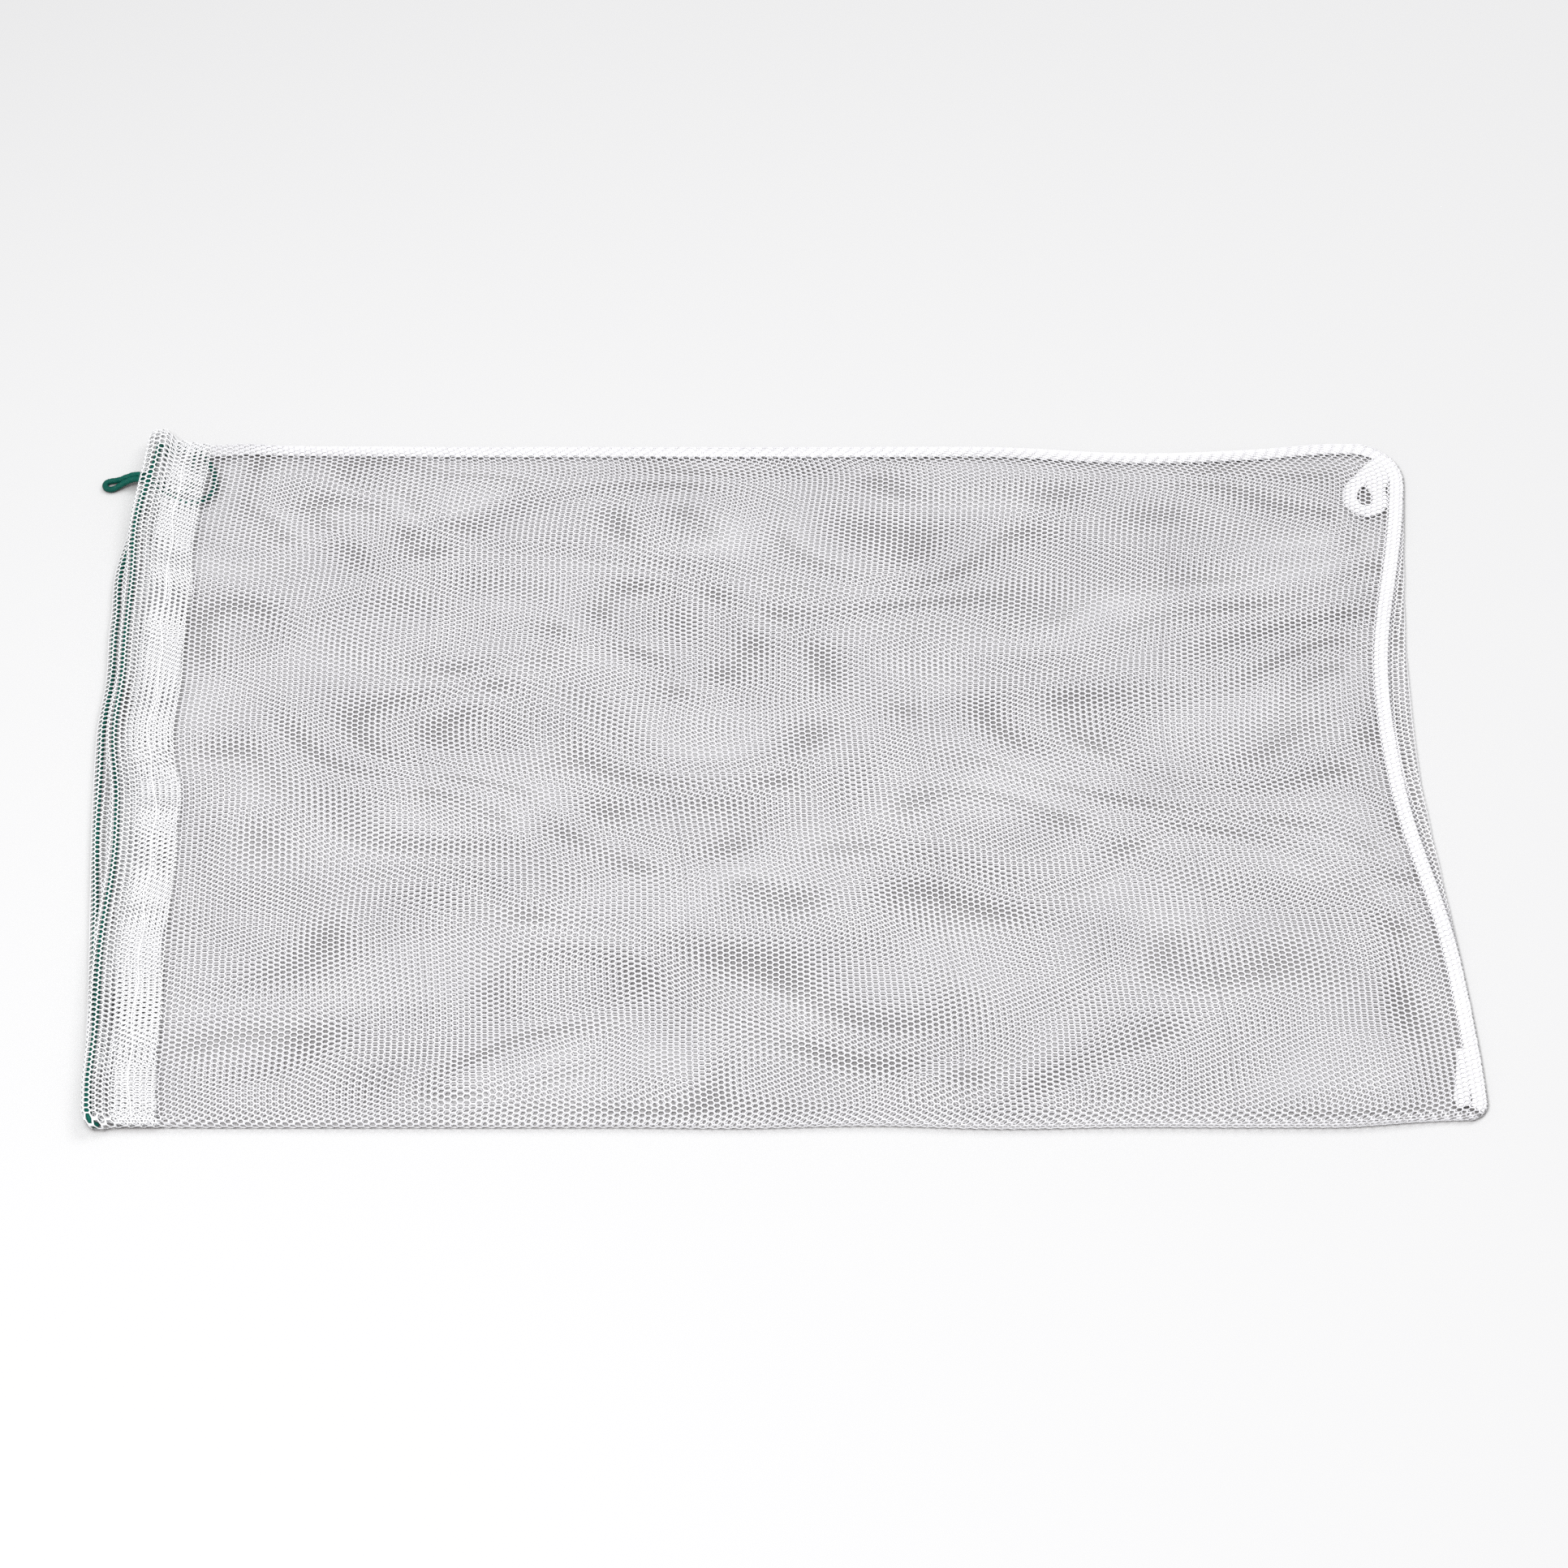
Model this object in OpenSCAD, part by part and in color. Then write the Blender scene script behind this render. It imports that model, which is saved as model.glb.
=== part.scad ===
// Net laundry bag, laid flat and lightly lofted, with its mouth towards -X.
// One net cloth is folded along the near long side (-Y), sewn along the far
// long side (+Y) and across the closed end (+X), and hemmed round the mouth.
// A drawstring runs in the hem and leaves it at the far corner of the mouth.
// Origin: centre of the bag's outline, on the surface that it lies on.

/* [Bag] */
// Length of the cloth from the mouth to the closed end
bag_length = 603.5; // [560:0.5:660]
// Width across the bag, laid flat
bag_width = 401.2; // [360:0.2:440]
// Height of the bag between the two outer faces of the net
body_height = 9.2; // [8.6:0.1:12]
// Thickness of the net
net_t = 0.5; // [0.3:0.1:0.6]

/* [Laid shape] */
// How far the mouth edge bows out between its two corners
mouth_bow = 15.5; // [0:0.5:20]
// How far the closed end bows in between its two corners
end_bow = 13; // [0:0.5:16]
// How far the front hem's edge bows out
front_bow = 8.8; // [0:0.2:14]
// Radius of the far corner at the closed end
far_corner_r = 14; // [6:1:18]
// Radius of the near corner at the closed end
near_corner_r = 8; // [4:1:12]

/* [Mouth hem] */
// Depth of the hem from its fold to where the single net begins
hem_depth = 34.5; // [30:0.5:45]
// Distance from the fold to the line of stitches
stitch_in = 19.5; // [19:0.5:22]
// Clear height of the tunnel that the drawstring runs in
tunnel_h = 2.7; // [2.6:0.1:3.2]

/* [Seams] */
// Width of the overlocked seam allowance
seam_w = 6; // [5:0.5:7]
// Thickness of the overlock threads on each face of the allowance
overlock_t = 0.35; // [0.2:0.05:0.4]
// How far the end seam is rolled onto the front of the bag
seam_roll = 7; // [0:0.5:9]
// Width of the curled tail of the end seam
tail_w = 7; // [5:0.5:7]

/* [Drawstring] */
// Diameter of the cord
cord_d = 2.5; // [2:0.1:2.5]
// Distance from the fold of the hem to the middle of the cord
cord_in = 3.2; // [3:0.1:4]

/* [Hidden] */
net_colour = [0.93, 0.94, 0.96];
hem_colour = [0.86, 0.88, 0.92];
thread_colour = [0.98, 0.98, 0.98];
cord_colour = [0.04, 0.43, 0.35];
$fn = 48;

half_w = bag_width / 2;
end_x = (bag_length + mouth_bow) / 2;
mouth_x = end_x - bag_length;
body_r = body_height / 2;
side_y = half_w - body_r;
inside_top = body_height - net_t;

// Heights in the hem, from the surface up
casing_h = tunnel_h + 2 * net_t;
mouth_height = inside_top + casing_h;
mouth_r = mouth_height / 2;
mouth_side_y = half_w - mouth_r;
mouth_mid_z = mouth_height / 2;
cord_r = cord_d / 2;
front_run_z = mouth_height - net_t - 0.1 - cord_r;
back_run_z = net_t + 0.1 + cord_r;
casing_far_y = mouth_side_y - 6.4;
hem_line_x = mouth_x + hem_depth - 1.5;
far_hem_x = back_edge(casing_far_y) + hem_depth - 0.2;

// Rounded fall from 1 at mid to 0 at mid +- reach
function bump(y, mid, reach) = abs(y - mid) < reach ? pow(cos(90 * (y - mid) / reach), 2) : 0;
// Setback of a rounded corner at a distance from the side
function corner(from_side, r) = from_side < r ? r - sqrt(r * r - pow(r - from_side, 2)) : 0;
function end_edge(y) = end_x - end_bow * bump(y, side_y / 7, side_y * 8 / 7)
    - corner(side_y - y, far_corner_r) - corner(side_y + y, near_corner_r);
function back_edge(y) = mouth_x - mouth_bow * bump(y, side_y * 2 / 7, side_y * 10 / 7);
function front_edge(y) = mouth_x - 1.2 - front_bow * bump(y, side_y * 4 / 7, side_y * 15 / 14);
// Share of the roll of the end seam at y
function roll(y) = bump(y, side_y / 7, side_y * 0.77);

// Places along the width where the swept pieces have a section
pitch_y = side_y / 14;
middle_ys = [for (i = [-13:13]) i * pitch_y];
end_ys = concat([-side_y, -side_y + 2, -side_y + 4.5, -side_y + 8], middle_ys,
    [side_y - 9.5, side_y - 5.5, side_y - 2.5, side_y]);
casing_ys = concat([-mouth_side_y, -mouth_side_y + 6], middle_ys, [casing_far_y]);

function unit(v) = v / norm(v);
function along(p, i) = unit(p[min(i + 1, len(p) - 1)] - p[max(i - 1, 0)]);
function beside(p, i, d) = p[i] + d * [-along(p, i)[1], along(p, i)[0]];
// Outline of a strip of thickness t along the line p
function strip(p, t) = concat([for (i = [0:len(p) - 1]) beside(p, i, t / 2)],
    [for (i = [len(p) - 1:-1:0]) beside(p, i, -t / 2)]);

// Closed skin over rings of points, all with the same count
module skin(rings) {
    n = len(rings[0]);
    last = len(rings) - 1;
    polyhedron(
        points = [for (r = rings) each r],
        faces = concat(
            [[for (i = [0:n - 1]) i]],
            [for (k = [0:last - 1], i = [0:n - 1])
                [k * n + i, (k + 1) * n + i, (k + 1) * n + (i + 1) % n, k * n + (i + 1) % n]],
            [[for (i = [n - 1:-1:0]) last * n + i]]),
        convexity = 6);
}

function ring_at(p, t, up, r, n) =
    let (s = unit(cross(t, up)), w = cross(s, t))
    [for (i = [0:n - 1]) p + r * (cos(360 * i / n) * s + sin(360 * i / n) * w)];

// Round cord along the points p; up is never along the cord
module cord_along(p, up) {
    skin([for (i = [0:len(p) - 1]) ring_at(p[i], along(p, i), up, cord_r, 8)]);
}

// Half ring of net along X, from one panel round to the other
module long_turn(x0, x1, mid_y, r, side) {
    translate([x0, mid_y, r])
        rotate([90, 0, 90])
            linear_extrude(x1 - x0)
                intersection() {
                    difference() {
                        circle(r);
                        circle(r - net_t);
                    }
                    translate([side > 0 ? 0 : -r, -r]) square([r, 2 * r]);
                }
}

// Flat panel between the hem and the turned end
module panel(hem_x, z) {
    mouth_side = [for (y = end_ys) [hem_x(y), y]];
    end_side = [for (i = [len(end_ys) - 1:-1:0]) [end_edge(end_ys[i]) - body_r, end_ys[i]]];
    translate([0, 0, z]) linear_extrude(net_t) polygon(concat(end_side, mouth_side));
}

module back_net() {
    color(net_colour) panel(function(y) back_edge(y) + hem_depth, 0);
}

module front_net() {
    color(net_colour) panel(function(y) front_edge(y) + hem_depth, inside_top);
}

module side_fold() {
    color(net_colour) long_turn(hem_line_x, end_edge(-side_y) - body_r, -side_y, body_r, -1);
}

module side_turn() {
    color(net_colour) long_turn(far_hem_x + 0.3, end_edge(side_y) - body_r, side_y, body_r, 1);
}

module end_turn() {
    steps = 8;
    mid_r = body_r - net_t / 2;
    line = [for (i = [0:steps])
        let (a = -90 + 180 * i / steps) [mid_r * cos(a) - body_r, body_r + mid_r * sin(a)]];
    color(net_colour)
        skin([for (y = end_ys) [for (q = strip(line, net_t)) [end_edge(y) + q[0], y, q[1]]]]);
}

module mouth_near_fold() {
    color(hem_colour)
        long_turn(front_edge(-mouth_side_y), hem_line_x - 0.3, -mouth_side_y, mouth_r, -1);
}

module mouth_far_turn() {
    x0 = back_edge(mouth_side_y) + 3;
    x1 = far_hem_x;
    color(hem_colour) {
        long_turn(x0, x1, mouth_side_y, mouth_r, 1);
        for (z = [0, mouth_height - net_t])
            translate([x0, casing_far_y + 0.1, z])
                cube([x1 - x0, mouth_side_y - casing_far_y - 0.1, net_t]);
    }
}

// The hem: the net runs out to the fold and comes back inside to its raw edge
front_hem = let (zi = inside_top + net_t / 2, zo = zi + net_t + 0.2, zt = mouth_height - net_t / 2)
    [[hem_depth, zi], [hem_depth - 1, zi], [hem_depth - 3, zo], [20, zo], [15, zo + 0.7],
    [9, zt - 0.45], [5, zt], [1.6, zt - 0.05], [0.25, (zi + zt) / 2], [1.6, zi + 0.05], [5, zi],
    [hem_depth - 4, zi]];
back_hem = let (zo = net_t / 2, zi = zo + net_t + 0.2, zt = casing_h - net_t / 2)
    [[hem_depth, zo], [5, zo], [1.6, zo], [0.25, (zo + zt) / 2], [1.6, zt - 0.05], [5, zt],
    [9, zt - 0.45], [15, zi + 0.7], [20, zi], [hem_depth - 4, zi]];

module front_casing() {
    color(hem_colour)
        skin([for (y = casing_ys) [for (q = strip(front_hem, net_t)) [front_edge(y) + q[0], y, q[1]]]]);
}

module back_casing() {
    color(hem_colour)
        skin([for (y = casing_ys)
            [for (q = strip(back_hem, net_t)) [back_edge(y) + q[0], y, q[1]]]]);
}

// Raised thread of a row of stitches, laid on the net
thread_section = [[-0.5, 0], [-0.35, 0.5], [0, 0.65], [0.35, 0.5], [0.5, 0]];

module front_hem_stitching() {
    z = inside_top + 2 * net_t + 0.2 + 0.02;
    color(thread_colour)
        skin([for (y = casing_ys) [for (q = thread_section)
            [front_edge(y) + stitch_in + 2.5 - q[0], y, z + q[1]]]]);
}

module back_hem_stitching() {
    z = 2 * net_t + 0.2 + 0.02;
    color(thread_colour)
        skin([for (y = casing_ys) [for (q = thread_section)
            [back_edge(y) + stitch_in + 2.5 - q[0], y, z + q[1]]]]);
}

// Section of the overlock: threads over both faces and round the raw edge
allowance_t = 2 * net_t;
grip = 0.06;
overlock_section = let (h = allowance_t / 2 + grip + overlock_t / 2, w = seam_w + grip)
    strip([[0.5, h], [w - 0.4, h], [w + overlock_t / 2, h - 0.3], [w + overlock_t / 2, 0.3 - h],
    [w - 0.4, -h], [0.5, -h]], overlock_t);

// The seam line is this far inside the outer edge of the bag
seam_inset = net_t + 0.6;

module side_seam_allowance() {
    x1 = end_edge(side_y) - body_r - 2;
    color(net_colour)
        translate([far_hem_x + 1, half_w - seam_inset - seam_w + 0.4, body_r - allowance_t / 2])
            cube([x1 - far_hem_x - 1, seam_w - 0.4, allowance_t]);
}

module side_seam_overlock() {
    x1 = end_edge(side_y) - body_r - 2;
    color(thread_colour)
        translate([far_hem_x + 1, half_w - seam_inset, body_r])
            rotate([90, 0, 90])
                linear_extrude(x1 - far_hem_x - 1)
                    mirror([1, 0]) polygon(overlock_section);
}

// Where the end seam runs: distance in from the edge, and height
end_seam_ys = [for (y = end_ys) if (y > -side_y + 7 && y < side_y - 9) y];
function end_seam_x(y) = end_edge(y) - seam_inset - seam_roll * roll(y);
function end_seam_z(y) = body_r + (inside_top - allowance_t / 2 - overlock_t - 0.2 - body_r) * roll(y);

module end_seam_allowance() {
    section = [[0, -allowance_t / 2], [0, allowance_t / 2], [seam_w - 0.4, allowance_t / 2],
        [seam_w - 0.4, -allowance_t / 2]];
    color(net_colour)
        skin([for (y = end_seam_ys) [for (q = section)
            [end_seam_x(y) - q[0], y, end_seam_z(y) + q[1]]]]);
}

module end_seam_overlock() {
    color(thread_colour)
        skin([for (y = end_seam_ys) [for (q = overlock_section)
            [end_seam_x(y) - q[0], y, end_seam_z(y) + q[1]]]]);
}

// Free tails of the end seam, under the front net
tail_t = allowance_t + 2 * overlock_t;
tail_z = inside_top - 0.1 - tail_t;
curl_r = 12;

module corner_seam_tail() {
    curl_x = end_x - 24;
    curl_y = side_y - 30;
    color(thread_colour) {
        translate([curl_x, curl_y, tail_z])
            linear_extrude(tail_t) {
                difference() {
                    circle(curl_r);
                    circle(curl_r - tail_w);
                }
                translate([1.5, curl_r - 1.5]) rotate(-18) square([tail_w - 1, 13]);
            }
    }
}

module near_corner_seam_tail() {
    color(thread_colour)
        translate([end_x - 15, -side_y + 9, tail_z])
            rotate([0, 0, -10])
                cube([tail_w - 0.5, 25, tail_t]);
}

// The held run: up the front hem, round the near fold, and back in the back hem
turn_y = -mouth_side_y + 0.5;
turn_r = (front_run_z - back_run_z) / 2;
run_ys = concat([casing_far_y], [for (i = [12:-2:-12]) i * pitch_y], [turn_y]);
front_run = [for (y = run_ys) [front_edge(y) + cord_in, y, front_run_z]];
back_run = [for (i = [len(run_ys) - 1:-1:0])
    [back_edge(run_ys[i]) + cord_in, run_ys[i], back_run_z]];
turn_run = [for (a = [22.5:22.5:157.5])
    [front_run[len(run_ys) - 1][0] * (180 - a) / 180 + back_run[0][0] * a / 180,
    turn_y - turn_r * sin(a), mouth_mid_z + turn_r * cos(a)]];

module drawstring() {
    color(cord_colour) cord_along(concat(front_run, turn_run, back_run), [1, 0, 0]);
}

// From the far ends of the two hems into the mouth, side by side
front_lead = [[-298.2, 188.3, 10.5], [-297.8, 191.5, 10.2], [-296, 194.6, 9.2],
    [-293, 196.4, 7.9], [-289.5, 196.6, 6.8], [-286, 195.9, 6.3], [-283.4, 195.5, 6.2]];
back_lead = [[-299.2, 188.3, 1.9], [-298.8, 190.6, 2.2], [-297, 192.6, 3.2],
    [-293.5, 193.6, 4.6], [-289.5, 193.6, 5.7], [-286, 193, 6.1], [-283.4, 192.6, 6.2]];

module drawstring_leads() {
    color(cord_colour) {
        cord_along(front_lead, [0, 0, 1]);
        cord_along(back_lead, [0, 0, 1]);
    }
}

// The doubled loop: a curl inside the mouth, and its bight out past the hem
loop_route = [[-282.5, 195.4, 6.2], [-280.8, 195, 6.2], [-277.6, 193, 6.2], [-273, 187.8, 6.2],
    [-268.8, 180.5, 6.2], [-266.7, 173, 6.2], [-267, 166.5, 6.2], [-270, 161.3, 6.2],
    [-275, 158.5, 6.2], [-280.5, 158.9, 6.2], [-286.3, 162.2, 6.2], [-291.5, 166.4, 6.2],
    [-296.5, 170.4, 6.2], [-301.3, 173.4, 6.1], [-306, 174.9, 5.2], [-310.5, 174.2, 3.7],
    [-314.8, 172, 2.2], [-318, 170.8, 1.5], [-320, 171.6, 1.3], [-320.8, 174, 1.3],
    [-320.2, 176.8, 1.3], [-318.2, 178.8, 1.4], [-314.8, 179.4, 2], [-310.5, 178.9, 3.7],
    [-306, 178, 5.2], [-301.3, 176.4, 6.1], [-296.5, 173.6, 6.2], [-291.5, 169.8, 6.2],
    [-287, 166, 6.2], [-283, 164.4, 6.2], [-279.4, 165.9, 6.2], [-277.6, 169.8, 6.2],
    [-277.4, 175, 6.2], [-277.6, 181, 6.2], [-278.2, 186.8, 6.2], [-279.5, 190.3, 6.2],
    [-280.9, 192, 6.2], [-282.5, 192.6, 6.2]];

module pull_loop() {
    color(cord_colour) cord_along(loop_route, [0, 0, 1]);
}

back_net();
front_net();
side_fold();
side_turn();
end_turn();
mouth_near_fold();
mouth_far_turn();
front_casing();
back_casing();
front_hem_stitching();
back_hem_stitching();
side_seam_allowance();
side_seam_overlock();
end_seam_allowance();
end_seam_overlock();
corner_seam_tail();
near_corner_seam_tail();
drawstring();
drawstring_leads();
pull_loop();
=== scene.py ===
"""Net laundry bag: the visual model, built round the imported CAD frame.

Lengths are in millimetres until a mesh is written, and +X runs from the mouth to the closed end.
The net is one sheet of hexagonal cells.  A place on the cloth is (u, v): u is the distance from the
fold of the mouth's hem, negative on the part that is turned inside, and v is the distance round the
bag from the near fold, positive over the front and negative over the back.
"""

import math

import bpy
import numpy as np
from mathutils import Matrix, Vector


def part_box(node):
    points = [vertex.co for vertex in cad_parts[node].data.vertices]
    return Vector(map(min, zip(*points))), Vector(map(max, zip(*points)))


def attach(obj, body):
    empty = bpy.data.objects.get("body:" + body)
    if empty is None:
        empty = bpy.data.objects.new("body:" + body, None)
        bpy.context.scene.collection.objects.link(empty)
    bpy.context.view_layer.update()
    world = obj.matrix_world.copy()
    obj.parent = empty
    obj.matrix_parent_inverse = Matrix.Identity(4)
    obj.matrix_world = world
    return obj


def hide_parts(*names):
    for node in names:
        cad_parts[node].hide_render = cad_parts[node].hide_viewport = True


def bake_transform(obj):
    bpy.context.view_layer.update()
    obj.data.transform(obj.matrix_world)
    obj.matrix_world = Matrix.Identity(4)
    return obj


MM = 0.001
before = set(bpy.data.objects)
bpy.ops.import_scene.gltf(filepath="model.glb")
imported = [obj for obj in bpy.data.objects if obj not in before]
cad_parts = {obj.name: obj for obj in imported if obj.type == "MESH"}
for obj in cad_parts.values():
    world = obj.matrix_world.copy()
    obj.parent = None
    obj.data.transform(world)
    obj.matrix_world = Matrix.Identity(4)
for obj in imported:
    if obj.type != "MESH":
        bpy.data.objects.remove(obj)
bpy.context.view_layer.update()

# ---------------------------------------------------------------- sizes
# The bag's, from the frame; the front of the mouth lies past the back of it
END_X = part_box("end_turn")[1].x / MM
FRONT_PAST_BACK = 1.2
MOUTH_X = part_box("mouth_near_fold")[0].x / MM + FRONT_PAST_BACK
HALF_W = -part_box("side_fold")[0].y / MM
SIDE_Y = HALF_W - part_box("side_fold")[1].z / MM / 2
CLOTH_LENGTH = END_X - MOUTH_X

# The drawstring's
CORD_D = 2.5
CORD_R = CORD_D / 2

# The net's cells: distance between columns and between rows, and half a cell's two widths along X
COLUMN = 2.70
ROW = 2.65
TIP = 1.80
FLANK = COLUMN - TIP
RIB_W = 0.74
RIB_T = 0.38

# Radius and quarter turn of the near fold, of the turn at the far side, and of the closed end's
NEAR_R = 2.3
NEAR_QUARTER = NEAR_R * math.pi / 2
FAR_R = 1.6
FAR_QUARTER = FAR_R * math.pi / 2
END_R = 1.6
END_QUARTER = END_R * math.pi / 2

# Across the cloth: the flat of a panel, the v of the side seam, the width of the allowances, and
# how far the end seam is rolled onto the front
FLAT_W = 2 * HALF_W - NEAR_R - FAR_R
SEAM_V = NEAR_QUARTER + FLAT_W + FAR_QUARTER
SEAM_W = 6.0
ROLL_IN = 7.0

# The hem: its depth, its tucked edge, the rounding of its fold, and the gap between pressed layers
HEM = 32.5
TUCK = 20.0
NOSE_R = 1.85
NOSE_QUARTER = NOSE_R * math.pi / 2
LAYER_GAP = 0.6

# Heights: the front net in the middle and at the edges, the back net, and how deep a turned-in seam
# or a seam's tail lies below the net over it
PANEL_TOP = 6.2
EDGE_TOP = 3.5
FLOOR_GAP = 0.35
UNDER_NET = 1.1


# ---------------------------------------------------------------- the laid shape
def bump(y, mid, reach):
    """Rounded fall from 1 at mid to 0 at mid +- reach."""
    t = np.clip((y - mid) / reach, -1, 1)
    return np.cos(t * math.pi / 2) ** 2


def ease(t):
    """Smooth step from 0 to 1."""
    t = np.clip(t, 0, 1)
    return t * t * (3 - 2 * t)


def corner(from_side, r):
    """Setback of a rounded corner at a distance from the side."""
    d = np.clip(from_side, 0, r)
    return r - np.sqrt(np.maximum(r * r - (r - d) ** 2, 0))


def climb(at, start, length):
    """Smooth step from 0 at start to 1 at start + length."""
    return ease((at - start) / length)


def bumps(at, table):
    """Sum of rounded bumps: each row is height, middle and reach."""
    return sum(height * bump(at, mid, reach) for height, mid, reach in table)


def hump(x, y, height, mid_x, reach_x, mid_y, reach_y):
    """Soft round hill on the bag."""
    return height * np.exp(-((x - mid_x) / reach_x) ** 2 - ((y - mid_y) / reach_y) ** 2)


# How the bag's outline leaves a straight line: rows for bumps(), across the bag or along its seam
END_DIP = [(13.0, SIDE_Y / 7, SIDE_Y * 8 / 7)]
BACK_BULGE = [(15.5, SIDE_Y * 2 / 7, SIDE_Y * 10 / 7), (2.0, 116, 32), (-1.8, 50, 34)]
FRONT_BULGE = [(8.8, SIDE_Y * 4 / 7, SIDE_Y * 15 / 14), (3.2, 14, 42), (1.8, -105, 60), (1.6, 145, 40)]
SEAM_DIP = [(4.5, 185, 90), (4.2, -272, 26)]
FAR_END_CORNER_R = 26
NEAR_END_CORNER_R = 9
MOUTH_CORNER_R = 7


def end_edge(y):
    corners = corner(HALF_W - y, FAR_END_CORNER_R) + corner(HALF_W + y, NEAR_END_CORNER_R)
    return END_X - bumps(y, END_DIP) - corners


def mouth_corner(y):
    return 0.5 * corner(HALF_W + y, MOUTH_CORNER_R) + 1.5 * bump(y, -HALF_W, 25)


def back_edge(y):
    return MOUTH_X - bumps(y, BACK_BULGE) + mouth_corner(y)


def front_edge(y):
    return MOUTH_X - FRONT_PAST_BACK - bumps(y, FRONT_BULGE) + mouth_corner(y)


def seam_sag(x):
    """How far the sewn long side is drawn in towards the middle."""
    along = 2.0 * climb(x, -275, 30) * (1 - climb(x, 235, 40))
    return along + bumps(x, SEAM_DIP)


def roll(y):
    """How far the end seam is rolled onto the front, from 0 to 1."""
    return bump(y, SIDE_Y / 7, SIDE_Y * 0.77)


def waves(x, y, table):
    """Sum of sines: each row is amplitude, wavelengths along X and Y, and phase."""
    return sum(a * np.sin(2 * math.pi * (x / lx + y / ly) + p) for a, lx, ly, p in table)


# Waves of the cloth, up and down or in its own plane: rows for waves()
TOP_WAVES = [
    (0.7, 310, 105, 0.4), (0.45, -420, 78, 2.1), (0.4, 150, 190, 4.0), (0.25, -105, 90, 1.2)]
BACK_WAVES = [(0.45, 260, -95, 1.0), (0.3, -180, 74, 3.3), (0.25, 120, 140, 5.2)]
FRONT_SLIDE_X = [(0.9, 280, 130, 0.3), (0.5, -130, 95, 2.6), (0.3, 90, -210, 1.0)]
FRONT_SLIDE_Y = [(0.85, 230, 120, 1.7), (0.4, -350, 80, 0.2), (0.35, 110, 150, 3.9)]
BACK_SLIDE_X = [(0.9, -300, 140, 5.0), (0.6, 170, 88, 0.8)]
BACK_SLIDE_Y = [(0.7, -260, 135, 2.9), (0.35, 190, 95, 4.4)]
RUMPLE_Z = [(0.75, 95, -52, 0.9), (0.5, -70, 44, 3.0)]
RUMPLE_X = [(0.5, 88, -62, 4.1), (0.35, -64, 70, 1.5)]
RUMPLE_Y = [(0.6, 105, 66, 2.2), (0.35, -72, 50, 0.6)]


def inside_share(x, y):
    """0 along the bag's edges, 1 well inside them."""
    side = climb(HALF_W - np.abs(y), 0, 20)
    return side * climb(x - MOUTH_X, 5, 60) * climb(END_X - x, 0, 50)


def rumpled(x, y):
    """Where the front net is rumpled: along the near fold, and behind the mouth's far corner."""
    near_fold = 1 - climb(HALF_W + y, 0, 75)
    far_corner = hump(x, y, 1.0, -190, 85, 150, 38)
    return np.maximum(near_fold, far_corner) * inside_share(x, y)


NEAR_DROP_SHARE = 0.45


def edge_share(x, y):
    """1 where the front net is down on the seams, less along the near fold, 0 well inside them."""
    off_mouth = climb(x, -268, 40)
    far = (1 - climb(HALF_W - y, 5, 28)) * off_mouth
    near = (1 - climb(HALF_W + y, 0, 22)) * off_mouth
    end = 1 - climb(END_X - x, 18, 34)
    return np.maximum(np.maximum(far, end), NEAR_DROP_SHARE * near)


def top_height(x, y):
    """The front net lies on the seams, and is lifted by the cord at the far corner of the mouth."""
    cord_lift = hump(x, y, 2.7, -285, 48, 178, 32)
    drop = (PANEL_TOP - EDGE_TOP) * edge_share(x, y)
    ripple = inside_share(x, y) * waves(x, y, TOP_WAVES) + rumpled(x, y) * waves(x, y, RUMPLE_Z)
    return PANEL_TOP - drop + cord_lift + ripple


def back_height(x, y):
    """The back net lies on the floor, and its waves only lift it."""
    lifted = np.maximum(waves(x, y, BACK_WAVES) + 0.5, 0)
    return FLOOR_GAP + inside_share(x, y) * lifted


def around(v):
    """Across the bag: y, share of the half height, outward lean, and length turned in at the seam."""
    a = np.abs(v)
    near = np.minimum(a, NEAR_QUARTER) / NEAR_R
    flat = np.clip(a - NEAR_QUARTER, 0, FLAT_W)
    far = np.clip(a - NEAR_QUARTER - FLAT_W, 0, FAR_QUARTER) / FAR_R
    turned_in = np.maximum(a - SEAM_V, 0)
    at_far = a > NEAR_QUARTER + FLAT_W
    share = np.where(at_far, np.cos(far), np.sin(near))
    y = -HALF_W + NEAR_R * (1 - np.cos(near)) + flat + FAR_R * np.sin(far) - turned_in
    lean = np.sqrt(np.maximum(1 - share ** 2, 0)) * np.where(at_far, 1, -1)
    return y, share, lean, turned_in


def hem_depth(v):
    """Where the hem's inner fold runs: pressed by hand, so it wavers a little on each panel."""
    return HEM + 0.8 * np.sin(v / 23.0 + 0.5) + 0.5 * np.sin(v / 9.0)


def cord_shift(y):
    """How far the front cord has left the fold on its way to the far corner."""
    return 3.0 * climb(y, 150, 45)


# The hem's layers close behind the cord: how far from the fold, and over what length
CLOSES_FROM = 4.0
CLOSES_OVER = 11.0


def hem_offset(u, out, y, hem, top_share):
    """The hem's two layers: apart round the cord, and close together towards the raw edge."""
    behind_cord = climb(out, CLOSES_FROM + cord_shift(y), CLOSES_OVER)
    opened = (2 * NOSE_R - LAYER_GAP) * (1 - behind_cord) * (1 - 0.6 * climb(y, 194, 6))
    outer = top_share * opened
    inner = top_share * -LAYER_GAP - (1 - top_share) * (LAYER_GAP + opened)
    nose = np.minimum(np.abs(u) / NOSE_R, math.pi / 2)
    nose_mix = (1 + np.sin(np.sign(u) * nose)) / 2
    offset = np.where(out < hem + 3, inner + (outer - inner) * nose_mix, 0)
    offset = offset * np.where(u > 0, 1 - climb(out - hem, -2, 4), 1)
    return offset + LAYER_GAP / 2 * climb(-hem - u, 0, 2)


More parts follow.
